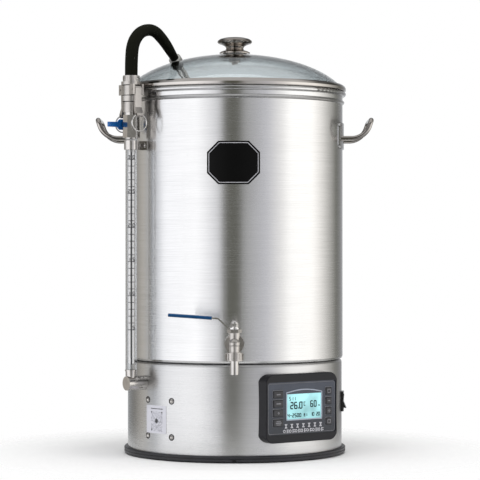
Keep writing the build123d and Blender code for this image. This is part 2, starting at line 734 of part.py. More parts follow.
def base_screws():
    """Four dome-headed screws that hold the pump bracket to the base shell."""
    screws = []
    for bearing, z in BASE_SCREWS:
        place = at_bearing(bearing, BASE_R + 0.1, z) * Rot(90, 0, 0)
        screws.append(place * (dome_head(3.5, 2.2) + cyl(1.5, -4, 0.4)))
    return screws


# ---- control panel ------------------------------------------------------------------


def panel_outline(w, h, corner, pinch):
    """The bezel's outline: a rounded rectangle whose sides are a little hollow."""
    face = RectangleRounded(w, h, corner)
    waist = h * h / (8 * pinch) + pinch / 2
    for side in (-1, 1):
        face -= Pos(side * (w / 2 - pinch + waist), 0) * Circle(waist)
    return face


def plate_from(face, y_front, y_back):
    """Extrudes a face drawn in XY as a plate in the panel's frame, from y_front to y_back."""
    return Pos(0, y_front, 0) * Rot(90, 0, 0) * extrude(face, y_front - y_back)


def panel_bezel():
    """Black plastic housing of the panel, fitted to the round base shell."""
    outer = plate_from(panel_outline(PANEL_W, PANEL_H, PANEL_CORNER, 1.2), 0, 36)
    outer = fillet(outer.faces().sort_by(Axis.Y)[0].edges(), 1.6)
    w, h = FACE_PLATE
    opening = plate_from(RectangleRounded(w + 0.2, h + 0.2, PLATE_CORNER), -1, 3.2)
    pocket = plate_from(RectangleRounded(w - 4, h - 4, PLATE_CORNER), 3, 40)
    body = panel_frame() * (outer - opening - pocket)
    skin = cyl(BASE_R + 0.05, 0, 200)
    snout = panel_frame() * block(-66.3, 66.3, -3, 40, -43.3, 43.3)
    core = cyl(BASE_R - 12, 0, 200)
    return body - (skin - snout) - core


def panel_holes(clearance, depth0, depth1):
    """The openings for the display and the buttons."""
    holes = [
        Pos(LCD_X, 0, LCD_Z) * block(-LCD[0] / 2, LCD[0] / 2, depth0, depth1, -LCD[1] / 2, LCD[1] / 2)
    ]
    for x, z, w, h in BUTTONS.values():
        w, h = w / 2 + clearance, h / 2 + clearance
        holes.append(Pos(x, 0, z) * block(-w, w, depth0, depth1, -h, h))
    return holes




def face_plate():
    """Slate-coloured face plate with openings for the display and buttons."""
    plate = plate_from(RectangleRounded(*FACE_PLATE, PLATE_CORNER), 1.2, 3.2)
    for hole in panel_holes(0.35, -5, 10):
        plate -= hole
    return panel_frame() * plate


def lcd_display():
    """Display module behind its window."""
    glass = block(-LCD[0] / 2 + 0.1, LCD[0] / 2 - 0.1, 1.6, 3.2, -LCD[1] / 2 + 0.1, LCD[1] / 2 - 0.1)
    module = block(-LCD[0] / 2 - 1.5, LCD[0] / 2 + 1.5, 3.25, 7, -LCD[1] / 2 - 3, LCD[1] / 2 + 3)
    return panel_frame() * Pos(LCD_X, 0, LCD_Z) * (glass + module)


def control_board():
    """Main circuit board behind the panel, with its larger components."""
    board = block(-60, 60, 11, 12.6, -34, 34)
    board += block(-30, -6, 12.6, 26, -24, 4)
    board += block(4, 28, 12.6, 24, -26, -6)
    board += block(2, 20, 12.6, 20, 8, 26)
    for x, z in ((-56, -30), (-56, 30), (56, -30), (56, 30)):
        board -= Pos(x, 12, z) * Rot(90, 0, 0) * Cylinder(1.6, 8)
    return panel_frame() * board


def button(name):
    """Push button: a cap with rounded edges and a stem towards the board."""
    x, z, w, h = BUTTONS[name]
    cap = Pos(0, 1.4, 0) * Box(w, 4.4, h)
    cap = fillet(cap.faces().sort_by(Axis.Y)[0].edges(), 1.0)
    flange = block(-w / 2 + 0.2, w / 2 - 0.2, 3.5, 4.4, -h / 2 + 0.2, h / 2 - 0.2)
    stem = Pos(0, 6.5, 0) * Rot(90, 0, 0) * Cylinder(1.6, 5.4)
    return panel_frame() * Pos(x, 0, z) * (cap + flange + stem)


# ---- power switch and mains inlet ---------------------------------------------------


def switch_housing():
    """Frame of the rocker switch, clipped into the base shell."""
    outer = block(-10, 10, -3.5, 0.5, -16, 16) + block(-7.6, 7.6, -1, 22, -13, 13)
    outer -= block(-6.4, 6.4, -6, 16, -12.2, 12.2)
    outer -= Pos(0, -1.2, 0) * Rot(0, 90, 0) * Cylinder(1.05, 15.4)
    frame_body = at_bearing(SWITCH_BEARING, BASE_R, SWITCH_Z) * outer
    flange_skin = cyl(BASE_R + 0.05, 60, 106) - cyl(BASE_R - WALL - 0.05, 59, 107)
    window = at_bearing(SWITCH_BEARING, BASE_R, SWITCH_Z) * block(-7.7, 7.7, -6, 20, -13.1, 13.1)
    return frame_body - (flange_skin - window)


def power_rocker():
    """Rocker with its lower half standing out."""
    face_edge = [(-4.4, 11.0), (-3.4, 0), (-7.8, -11.0)]
    back_edge = [(2.0, -9.0), (3.2, 0), (2.0, 9.0)]
    with BuildPart() as rocker:
        with BuildSketch(Plane.YZ):
            with BuildLine():
                Polyline(*face_edge, *back_edge, close=True)
            make_face()
        extrude(amount=6.1, both=True)
    body = rocker.part
    body += Pos(0, -1.2, 0) * Rot(0, 90, 0) * Cylinder(1.0, 15)
    return at_bearing(SWITCH_BEARING, BASE_R, SWITCH_Z) * body


def mains_inlet():
    """Appliance inlet at the back with its three pins."""
    body = block(-17, 17, -3, 0.4, -13, 13) + block(-13.8, 13.8, -1, 24, -9.8, 9.8)
    body -= block(-12.2, 12.2, -5, 16, -8.2, 8.2)
    for x, z in ((0, 2.6), (-7, -1.6), (7, -1.6)):
        body += block(x - 1, x + 1, 3.5, 20, z - 2, z + 2)
    inlet = at_bearing(180, BASE_R, INLET_Z) * body
    skin = cyl(BASE_R + 0.05, 40, 80) - cyl(BASE_R - WALL - 0.05, 39, 81)
    window = at_bearing(180, BASE_R, INLET_Z) * block(-13.9, 13.9, -6, 26, -9.9, 9.9)
    return inlet - (skin - window)


# ---- malt pipe ----------------------------------------------------------------------
def malt_pipe():
    """Grain basket: a plain cylinder with an inward ledge and three feet."""
    r, (z0, z1) = BASKET_R, BASKET_Z
    shell = lathe(
        [
            (r - 10, z0),
            (r, z0),
            (r, z1),
            (r - WALL, z1),
            (r - WALL, z0 + WALL),
            (r - 10, z0 + WALL),
        ]
    )
    rim = Pos(0, 0, z1) * Torus(r - 0.6, 2.0)
    shell = shell + rim
    floor = SEAM_Z + WALL + GAP
    for bearing in (90, 210, 330):
        p = polar(bearing, r - 6)
        shell += Pos(p.X, p.Y, 0) * cyl(4, floor, z0 + WALL)
    return shell


def malt_pipe_screen():
    """Perforated bottom screen that rests on the basket's ledge."""
    z0 = BASKET_Z[0] + WALL + 0.05
    screen = cyl(BASKET_R - WALL - 1, z0, z0 + 1.5)
    holes = []
    for ring in range(1, 7):
        count = 6 * ring
        radius = 20 * ring + 8
        for k in range(count):
            a = 2 * math.pi * k / count
            holes.append(Pos(radius * math.cos(a), radius * math.sin(a), z0) * Cylinder(3.0, 6))
    return screen - holes - cyl(10.05, z0 - 2, z0 + 4)


def overflow_pipe():
    """Central overflow pipe with a flange above and a nut below the screen."""
    z0 = BASKET_Z[0] + WALL + 1.6
    body = cyl(10, z0 - 6, 470) + cyl(17, z0, z0 + 3) + cyl(15, z0 - 6, z0 - 1.7)
    return body - cyl(8.8, z0 - 8, 480)


# ---- lid ----------------------------------------------------------------------------
def dome(inset):
    """Cap of the lid's ellipsoid above the glass's edge, with its surface moved in by inset."""
    centre = (0, LID_TOP - DOME_RZ)
    rx, rz = DOME_RX - inset, DOME_RZ - inset
    with BuildPart() as cap:
        with BuildSketch(Plane.XZ):
            with BuildLine():
                arc = EllipticalCenterArc(centre, rx, rz, 0, arc_size=90)
                Polyline(arc @ 1, centre, arc @ 0)
            make_face()
        revolve(axis=Axis.Z)
    return cap.part - cyl(2 * rx, LID_TOP - 2 * DOME_RZ, GLASS_EDGE_Z)


def hose_frame(along=0.0):
    """Frame on the hose's axis at its lower end: +Z points on down along the hose."""
    return Plane(origin=HOSE_END + HOSE_DOWN * along, z_dir=HOSE_DOWN).location


def lid_glass():
    """Dished glass with a hole for the knob's screw and one for the hose."""
    glass = dome(0) - dome(GLASS)
    glass -= cyl(4.2, 600, 660)
    glass -= hose_frame() * Cylinder(GLASS_HOLE_R, 60)
    return glass


def lid_ring():
    """Steel edge ring round the glass; its lip rests over the vessel's rim."""
    z0, ledge, r = LIP_Z, GLASS_EDGE_Z - 0.05, VESSEL_R + 5.3
    ring = lathe(
        [
            (162, z0),
            (r - 1, z0),
            (r, z0 + 1),
            (r, z0 + 5),
            (r - 1.7, z0 + 8),
            (r - 5, z0 + 10.4),
            (168.4, z0 + 10.8),
            (165, ledge),
            (165, z0 + 1.2),
            (162, z0 + 1.2),
        ]
    )
    above = cyl(200, ledge, 700)
    return ring - (dome(-0.1) + Pos(0, 0, -0.05) * dome(-0.1) & above)


def knob():
    """Turned steel knob: base flange, waist and a wide cap, with a threaded hole below."""
    outline = [(3.0, 0), (24.5, 0), (24.5, 1.7), (21.5, 3.5), (15.2, 5.5), (13.8, 8.1)]
    outline += [(15, 11.1), (19.5, 13.7), (26, 15.9), (28, 18.3), (27.2, 20.7)]
    outline += [(24, 23.1), (17.5, 25.1), (9, 26.1), (0, 26.3), (0, 12), (3.0, 12)]
    return Pos(0, 0, KNOB_Z) * lathe(outline)


def knob_screw():
    """Screw that holds the knob from inside the lid, with its wide washer."""
    under = LID_TOP - GLASS
    washer = pipe(9, 2.95, under - 3.4, under - 1.2)
    screw = cyl(2.9, under - 3.5, KNOB_Z + 11.5) + hexagon(9, under - 7.4, under - 3.45)
    return [screw, washer]


def lid_seals():
    """Silicone grommet in the hose hole, and the washer under the knob."""
    flanges = hose_frame(6.2) * Cylinder(GLASS_HOLE_R + 1.8, 12)
    grommet = flanges - dome(-0.05) + (flanges & dome(GLASS + 0.05))
    grommet += hose_frame(6.2) * Cylinder(GLASS_HOLE_R - 0.1, 12)
    grommet -= hose_frame() * Cylinder(6.6, 60)
    washer = pipe(19, 3.0, LID_TOP - 4, KNOB_Z - 0.05) - dome(-0.05)
    return [grommet, washer]


def return_pipe():
    """Steel return pipe that carries on from the hose, down under the lid."""
    start = HOSE_END + HOSE_DOWN * 0.05
    tip = start + HOSE_DOWN * 80
    wall = rod(tuple(start), tuple(tip), 6.5) - rod(
        tuple(start - HOSE_DOWN), tuple(tip + HOSE_DOWN), 5.3
    )
    return wall


# ---- hose and adapter ---------------------------------------------------------------
def route_radii(points):
    """The largest bend radius that each corner's two runs allow, and it is printed."""
    radii = []
    for a, b, c in zip(points, points[1:], points[2:]):
        a, b, c = Vector(*a), Vector(*b), Vector(*c)
        turn = math.radians((b - a).get_angle(c - b))
        radii.append(0.45 * min((b - a).length, (c - b).length) / math.tan(turn / 2))
    print("hose radii mm:", [round(r, 1) for r in radii])
    return radii


def hose():
    """Solid envelope of the hose along its real route."""
    path = FilletPolyline(*HOSE_ROUTE, radius=route_radii(HOSE_ROUTE))
    tube = sweep(Plane(origin=path @ 0, z_dir=path % 0) * Circle(HOSE_D / 2), path=path)
    expected = math.pi * HOSE_D**2 / 4 * path.length
    print("hose length mm:", round(path.length, 1), "volume ratio:", round(tube.volume / expected, 4))
    return tube


def hose_adapter():
    """Male cam-lock adapter: a plug in the coupler, a groove for the cams and a ribbed collar."""
    collar = pipe(ADAPTER_R, 7, 586.0, 594.95) + pipe(11.3, 8, 563, 586.5)
    collar -= pipe(14, 10.4, 570, 578)
    for k in range(24):
        collar += Rot(0, 0, 15 * k) * block(12.4, 13.2, -0.5, 0.5, 587.5, 593.5)
    return tube_frame() * collar


# ---- write every node ---------------------------------------------------------------
save("vessel", vessel())
save("base_shell", base_shell())
save("base_ring", base_ring())
save("bottom_cover", bottom_cover())
save("feet", *feet())
save("heating_element", heating_element(), heater_plate())
save("temperature_sensors", temperature_sensor(), thermal_cutout())
save("pump_motor", pump_motor(), pump_bracket())
save("pump_volute", pump_volute())
save("pump_impeller", pump_impeller())
save("pump_pipes", pump_inlet_pipe(), pump_outlet_pipe())
save("sight_tube", sight_tube())
save("tube_nuts", tube_ferrule(), valve_nut())
save("tube_bracket", tube_bracket())
save("screws", bracket_screw(), *base_screws())
save("recirc_valve_body", recirc_valve_body())
save("recirc_valve_ball", recirc_valve_ball(), recirc_lever_nut())
save("recirc_lever", recirc_lever())
save("coupler", coupler(), *cam_pins())
save("cam_arm_front", cam_arm(1))
save("cam_arm_back", cam_arm(-1))
save("pull_ring_front", pull_ring(1, 0.0))
save("pull_ring_back", pull_ring(-1, BACK_RING_LEAN))
save("handle_left", handle(-1))
save("handle_right", handle(1))
save("handle_plates", handle_plate(-1), handle_plate(1))
save("tap_bulkhead", tap_bulkhead(), tap_locknut())
save("tap_gasket", tap_gasket())
save("tap_body", tap_body(), tap_bonnet())
save("tap_ball", tap_ball())
save("tap_lever", tap_lever(), tap_lever_nut())
save("tap_lever_sleeve", tap_lever_sleeve())
save("tap_union_nut", tap_union_nut())
save("tap_spout", tap_spout())
save("badge", badge())
save("label_plate", label_plate())
save("panel_bezel", panel_bezel())
save("face_plate", face_plate())
save("lcd_display", lcd_display())
save("control_board", control_board())
for button_name in BUTTONS:
    save(button_name, button(button_name))
save("switch_housing", switch_housing())
save("power_rocker", power_rocker())
save("mains_inlet", mains_inlet())
save("malt_pipe", malt_pipe())
save("malt_pipe_screen", malt_pipe_screen(), overflow_pipe())
save("lid_glass", lid_glass())
save("lid_ring", lid_ring())
save("knob", knob(), *knob_screw())
save("lid_seals", *lid_seals())
save("return_pipe", return_pipe())
save("hose", hose())
save("hose_adapter", hose_adapter())
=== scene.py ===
import json
import math
import random

import bpy
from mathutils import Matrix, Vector


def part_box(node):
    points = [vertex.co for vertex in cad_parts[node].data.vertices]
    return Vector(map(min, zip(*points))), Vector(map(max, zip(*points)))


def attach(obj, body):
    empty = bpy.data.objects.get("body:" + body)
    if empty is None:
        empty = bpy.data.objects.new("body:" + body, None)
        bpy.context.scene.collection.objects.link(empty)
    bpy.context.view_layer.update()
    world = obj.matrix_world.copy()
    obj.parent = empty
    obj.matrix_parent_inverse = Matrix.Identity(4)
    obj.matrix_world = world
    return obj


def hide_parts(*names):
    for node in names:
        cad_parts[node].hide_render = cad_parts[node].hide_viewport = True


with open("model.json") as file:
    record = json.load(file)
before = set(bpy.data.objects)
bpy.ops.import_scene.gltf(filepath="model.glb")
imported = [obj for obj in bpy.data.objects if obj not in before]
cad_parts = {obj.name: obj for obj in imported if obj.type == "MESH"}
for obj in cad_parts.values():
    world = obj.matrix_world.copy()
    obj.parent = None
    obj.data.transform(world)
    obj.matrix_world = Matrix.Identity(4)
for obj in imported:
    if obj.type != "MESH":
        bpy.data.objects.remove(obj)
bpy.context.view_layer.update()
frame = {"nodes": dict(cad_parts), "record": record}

# Looks of the electric brew kettle. Metres, in the CAD's frame: origin on the floor at the
# vessel's axis, +Z up, front towards -Y. A bearing is an angle from the front towards +X.

# ---- the sight tube's place, read from the frame -------------------------------------------------
NODES = frame["nodes"]
TUBE_LOW, TUBE_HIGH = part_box("sight_tube")
TUBE_X = (TUBE_LOW[0] + TUBE_HIGH[0]) / 2
TUBE_Y = (TUBE_LOW[1] + TUBE_HIGH[1]) / 2
TUBE_R = (TUBE_HIGH[0] - TUBE_LOW[0]) / 2

# ---- sizes that the CAD parts have too -----------------------------------------------------------
VESSEL_R = 0.173
BASE_R = 0.1715
BASE_TOP_Z = 0.151  # where the vessel stands on the base shell
PANEL_BEARING = math.radians(36)
PANEL_FACE = 0.177  # from the vessel's axis to the control panel's plane
PANEL_Z = 0.0825  # middle of the panel


# ---- camera --------------------------------------------------------------------------------------
CAMERA_PLACE = (0.0084, -3.243, 0.340)
LENS_MM = 151.3
SENSOR_MM = 36.0


def make_camera():
    """A long lens, level with the middle of the kettle."""
    data = bpy.data.cameras.new("camera")
    data.lens = LENS_MM
    data.sensor_width = SENSOR_MM
    camera = bpy.data.objects.new("camera", data)
    camera.location = CAMERA_PLACE
    camera.rotation_euler = (math.pi / 2, 0, 0)
    bpy.context.scene.collection.objects.link(camera)
    bpy.context.scene.camera = camera


make_camera()


# ---- node-tree helpers ---------------------------------------------------------------------------
class Tree:
    """A node tree, with short calls for the nodes that the materials and the studio share."""

    def __init__(self, owner):
        owner.use_nodes = True
        self.nodes = owner.node_tree.nodes
        self.links = owner.node_tree.links

    def add(self, kind, **settings):
        node = self.nodes.new(kind)
        for key, value in settings.items():
            setattr(node, key, value)
        return node

    def link(self, a, b):
        self.links.new(a, b)

    def put(self, value, socket):
        """Links an output to a socket, or sets the socket's own value."""
        if isinstance(value, bpy.types.NodeSocket):
            self.links.new(value, socket)
        else:
            socket.default_value = value

    def math(self, operation, a, b=None):
        node = self.add("ShaderNodeMath", operation=operation)
        self.put(a, node.inputs[0])
        if b is not None:
            self.put(b, node.inputs[1])
        return node.outputs[0]

    def place(self):
        """A surface point's place at rest, in the CAD's frame."""
        return self.add("ShaderNodeTexCoord").outputs["Object"]

    def split(self, vector):
        """The x, y and z of a vector."""
        node = self.add("ShaderNodeSeparateXYZ")
        self.link(vector, node.inputs[0])
        return node.outputs

    def scaled(self, vector, scale):
        """A vector times another vector or one number."""
        node = self.add("ShaderNodeVectorMath", operation="MULTIPLY")
        self.link(vector, node.inputs[0])
        self.put(scale, node.inputs[1])
        return node.outputs[0]

    def noise(self, vector, scale, detail=3.0, rough=0.55):
        node = self.add("ShaderNodeTexNoise")
        self.link(vector, node.inputs["Vector"])
        node.inputs["Scale"].default_value = scale
        node.inputs["Detail"].default_value = detail
        node.inputs["Roughness"].default_value = rough
        return node.outputs["Fac"]

    def ramp(self, factor, stops):
        """A colour ramp through (position, colour) stops."""
        node = self.add("ShaderNodeValToRGB")
        self.link(factor, node.inputs[0])
        ramp = node.color_ramp
        while len(ramp.elements) < len(stops):
            ramp.elements.new(0.5)
        for element, (at, colour) in zip(ramp.elements, stops):
            element.position = at
            element.color = colour if len(colour) == 4 else (*colour, 1)
        return node.outputs["Color"]

    def range(self, value, low, high, to_low=0.0, to_high=1.0):
        """A value carried from one range to another, held at its ends."""
        node = self.add("ShaderNodeMapRange")
        self.link(value, node.inputs["Value"])
        ends = {"From Min": low, "From Max": high, "To Min": to_low, "To Max": to_high}
        for key, number in ends.items():
            node.inputs[key].default_value = number
        return node.outputs["Result"]

    def mix(self, factor, first, second, blend="MIX"):
        node = self.add("ShaderNodeMixRGB", blend_type=blend)
        for key, value in (("Fac", factor), ("Color1", first), ("Color2", second)):
            self.put(value, node.inputs[key])
        return node.outputs["Color"]

    def round_coords(self, along, up):
        """Cylindrical coordinates about the vessel's axis: fine detail runs round it."""
        x, y, z = self.split(self.place())
        angle = self.math("ARCTAN2", y, x)
        squares = self.math("ADD", self.math("MULTIPLY", x, x), self.math("MULTIPLY", y, y))
        radius = self.math("SQRT", squares)
        join = self.add("ShaderNodeCombineXYZ")
        self.link(self.math("MULTIPLY", angle, along), join.inputs[0])
        self.link(self.math("MULTIPLY", z, up), join.inputs[1])
        self.link(self.math("MULTIPLY", radius, up), join.inputs[2])
        return join.outputs[0]


class Material(Tree):
    """A material and its shader."""

    def __init__(self, name):
        self.mat = bpy.data.materials.new(name)
        super().__init__(self.mat)
        self.shader = self.nodes["Principled BSDF"]

    def set(self, **values):
        """Sets the shader's own sockets; an underscore stands for a space."""
        for key, value in values.items():
            self.shader.inputs[key.replace("_", " ")].default_value = value

    def feed(self, output, key):
        """Links an output to one of the shader's sockets."""
        self.link(output, self.shader.inputs[key])

    def bump(self, height, strength, distance):
        """Fine relief on the surface; distance is in metres."""
        node = self.add("ShaderNodeBump")
        self.link(height, node.inputs["Height"])
        node.inputs["Strength"].default_value = strength
        node.inputs["Distance"].default_value = distance
        self.feed(node.outputs["Normal"], "Normal")


def grey(value, warm=0.0):
    """A grey colour, a little towards orange when warm is above 0."""
    return (value * (1 + warm), value, value * (1 - warm), 1)


# ---- materials -----------------------------------------------------------------------------------
def brushed_steel(name, tone, roughness, anisotropy, line_strength=0.25, warm=0.0, base_shade_and_rough=0.0):
    """Sheet steel brushed round the vessel's axis, with faint smudges; rougher on the base shell, whose
    colour is also darkened by painted shade.
    """
    t = Material(name)
    t.set(Metallic=1.0, Anisotropic=anisotropy, Anisotropic_Rotation=0.25)
    lines = t.noise(t.round_coords(2.5, 1400.0), 1.0, 4.0, 0.75)
    broad = t.noise(t.round_coords(0.7, 90.0), 1.0, 3.0, 0.6)
    smudge = t.noise(t.scaled(t.place(), (1, 1, 0.35)), 9.0, 4.0, 0.6)
    mixed = t.math("ADD", t.math("MULTIPLY", lines, 0.85), t.math("MULTIPLY", broad, 0.15))
    light = grey(min(1, tone * 1.1), warm)
    colour = t.ramp(mixed, [(0.3, grey(tone * 0.86, warm)), (0.7, light)])
    smudged = t.range(smudge, 0.35, 0.7, roughness - 0.03, roughness + 0.05)
    rough = t.math("ADD", t.range(lines, 0.3, 0.7, -0.04, 0.04), smudged)
    if base_shade_and_rough:
        # Below the base seam: a rougher sheet, and painted shade that darkens the colour by a set share.
        z = t.split(t.place())[2]
        below = t.range(z, BASE_TOP_Z - 0.001, BASE_TOP_Z + 0.001, 1.0, 0.0)
        colour = t.mix(t.math("MULTIPLY", below, base_shade_and_rough), colour, (0, 0, 0, 1), "MULTIPLY")
        rough = t.math("ADD", rough, t.math("MULTIPLY", below, 0.06))
    t.feed(colour, "Base Color")
    t.feed(rough, "Roughness")
    t.bump(lines, line_strength, 0.00005)
    tangent = t.add("ShaderNodeTangent", direction_type="RADIAL", axis="Z")
    t.feed(tangent.outputs[0], "Tangent")
    return t.mat


def plain_steel(name, tone, roughness, warm=0.02, grain=1400.0, strength=0.12):
    """Turned, cast or drawn steel: fine grain, slightly uneven polish."""
    t = Material(name)
    t.set(Metallic=1.0)
    fine = t.noise(t.place(), grain, 3.0, 0.6)
    broad = t.noise(t.place(), 70.0, 4.0, 0.6)
    light = grey(min(1, tone * 1.08), warm)
    t.feed(t.ramp(broad, [(0.3, grey(tone * 0.82, warm)), (0.7, light)]), "Base Color")
    uneven = t.range(broad, 0.3, 0.7, roughness - 0.05, roughness + 0.06)
    t.feed(t.math("ADD", uneven, t.range(fine, 0.3, 0.7, -0.03, 0.03)), "Roughness")
    t.bump(fine, strength, 0.0001)
    return t.mat


def moulded(
    name,
    colour,
    roughness,
    grain=900.0,
    strength=0.15,
    coat=0.0,
    spread=0.12,
    specular=0.5,
    shade_heights=None,
):
    """Moulded plastic or rubber with a fine grain, slightly uneven in colour.

    The last argument, if given, is a pair of heights for painted shade and light: the colour is darker at
    the first and lighter at the second.
    """
    t = Material(name)
    t.set(Metallic=0.0, Coat_Weight=coat, Coat_Roughness=0.08, Specular_IOR_Level=specular)
    fine = t.noise(t.place(), grain, 2.0, 0.5)
    broad = t.noise(t.place(), 40.0, 3.0, 0.6)
    dark = tuple(c * (1 - spread) for c in colour)
    light = tuple(min(1.0, c * (1 + spread)) for c in colour)
    tint = t.ramp(broad, [(0.3, dark), (0.7, light)])
    if shade_heights:
        # Painted shade and light: the colour darkens downwards between the two heights, as if lit from
        # above.
        tint = t.scaled(tint, t.range(t.split(t.place())[2], *shade_heights, 0.45, 1.15))
    t.feed(tint, "Base Color")
    t.feed(t.range(fine, 0.3, 0.7, roughness - 0.04, roughness + 0.05), "Roughness")
    t.bump(fine, strength, 0.00008)
    return t.mat


def clear(name, colour):
    """Clear glass or acrylic with faint wiping marks."""
    t = Material(name)
    t.set(Transmission_Weight=1.0, IOR=1.49, Metallic=0.0, Base_Color=(*colour, 1))
    wipe = t.noise(t.scaled(t.place(), (1, 1, 2.5)), 25.0, 4.0, 0.6)
    t.feed(t.range(wipe, 0.55, 0.8, 0.0, 0.03), "Roughness")
    return t.mat


def glowing(name, colour, strength):
    """Backlit display: a lit colour, slightly uneven."""
    t = Material(name)
    t.set(Roughness=0.25, Emission_Strength=strength, Specular_IOR_Level=0.3)
    cloud = t.noise(t.place(), 22.0, 2.0, 0.5)
    dim = tuple(c * 0.82 for c in colour)
    deep = tuple(c * 0.12 for c in colour)
    t.feed(t.ramp(cloud, [(0.35, dim), (0.65, colour)]), "Emission Color")
    t.feed(t.ramp(cloud, [(0.35, deep), (0.65, dim)]), "Base Color")
    return t.mat


MATERIALS = {
    "vessel_steel": brushed_steel("vessel_steel", 0.68, 0.235, 0.68, 0.18, base_shade_and_rough=0.10),
    "cover_steel": brushed_steel("cover_steel", 0.55, 0.38, 0.4),
    "basket_steel": brushed_steel("basket_steel", 0.62, 0.30, 0.6),
    "ring_steel": brushed_steel("ring_steel", 0.50, 0.12, 0.3, 0.1, 0.05),
    "fitting_steel": plain_steel("fitting_steel", 0.53, 0.12, 0.04),
    "cast_steel": plain_steel("cast_steel", 0.50, 0.32, 0.05, 900.0, 0.3),
    "strap_steel": plain_steel("strap_steel", 0.7, 0.24),
    "wire_steel": plain_steel("wire_steel", 0.75, 0.12),
    "handle_steel": plain_steel("handle_steel", 0.44, 0.07, 0.06),
    "knob_steel": plain_steel("knob_steel", 0.36, 0.09, 0.09),
    "heater_steel": plain_steel("heater_steel", 0.5, 0.45),
    "ring_plastic": moulded("ring_plastic", (0.022, 0.022, 0.026), 0.38, specular=0.4),
    "bezel_plastic": moulded("bezel_plastic", (0.008, 0.008, 0.011), 0.40, specular=0.28),
    # The panel's face gets painted shade and light: darker towards its bottom, lighter towards its top.
    "slate_plastic": moulded(
        "slate_plastic", (0.042, 0.051, 0.074), 0.42, 1600.0, 0.08, shade_heights=(0.045, 0.115)
    ),
    "button_rubber": moulded("button_rubber", (0.018, 0.018, 0.022), 0.4),
    "display": glowing("display", (0.34, 0.67, 0.70), 0.85),
    "circuit_board": moulded("circuit_board", (0.01, 0.12, 0.05), 0.4),
    "pump_plastic": moulded("pump_plastic", (0.03, 0.03, 0.03), 0.5),
    "impeller_plastic": moulded("impeller_plastic", (0.7, 0.7, 0.66), 0.4),
    "switch_plastic": moulded("switch_plastic", (0.012, 0.012, 0.013), 0.25, 900.0, 0.05, 0.4),
    "blue_plastic": moulded("blue_plastic", (0.0, 0.12, 0.42), 0.3, 700.0, 0.1, 0.3),
    "blue_vinyl": moulded("blue_vinyl", (0.0, 0.055, 0.17), 0.22, 500.0, 0.12, 0.5),
    "badge_black": moulded("badge_black", (0.003, 0.003, 0.003), 0.35, 1200.0, 0.08, specular=0.1),
    "label_silver": moulded("label_silver", (0.70, 0.70, 0.76), 0.35, 1800.0, 0.04, spread=0.04),
    "lid_glass": clear("lid_glass", (0.92, 0.965, 0.975)),
    "tube_clear": clear("tube_clear", (0.89, 0.895, 0.90)),
    "silicone": moulded("silicone", (0.34, 0.34, 0.32), 0.4),
    "foot_rubber": moulded("foot_rubber", (0.03, 0.03, 0.03), 0.7),
    "hose_rubber": moulded("hose_rubber", (0.005, 0.0055, 0.0025), 0.75, 1500.0, 0.12, specular=0.14),
}
PRINT_DARK = moulded("print_dark", (0.03, 0.03, 0.035), 0.4, 1500.0, 0.02)
PRINT_WHITE = moulded("print_white", (0.85, 0.85, 0.85), 0.35, 1500.0, 0.02, spread=0.02)
PRINT_LIGHT = moulded("print_light", (0.62, 0.62, 0.66), 0.4, 1500.0, 0.02)
PRINT_GREY = moulded("print_grey", (0.20, 0.20, 0.22), 0.4, 1500.0, 0.02)
LCD_INK = moulded("lcd_ink", (0.008, 0.02, 0.025), 0.5, 1500.0, 0.02, specular=0.1)
LCD_FRAME = moulded("lcd_frame", (0.36, 0.40, 0.48), 0.3, 1500.0, 0.02)
LABEL_PALE = moulded("label_pale", (0.40, 0.40, 0.45), 0.4, 1500.0, 0.02)
# Dark for painted shadows: the rings round the base's screws and the lines at the coupler's steps.
SHADOW_DARK = moulded("shadow_dark", (0.01, 0.01, 0.01), 0.6, 1500.0, 0.02, specular=0.1)


def dress_nodes():
    """Gives every CAD node the material of its slot."""
    for entry in frame["record"]["subparts"]:
        obj = NODES[entry["node"]]
        obj.data.materials.clear()
        obj.data.materials.append(MATERIALS[entry["material_slot"]])


dress_nodes()


# ---- pieces --------------------------------------------------------------------------------------
def mesh_piece(name, points, faces, mat, body):
    """A mesh object that rides on a body."""
    mesh = bpy.data.meshes.new(name)
    mesh.from_pydata([tuple(p) for p in points], [], faces)
    mesh.validate()
    mesh.update()
    mesh.materials.append(mat)
    obj = bpy.data.objects.new(name, mesh)
    bpy.context.scene.collection.objects.link(obj)
    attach(obj, body)
    return obj


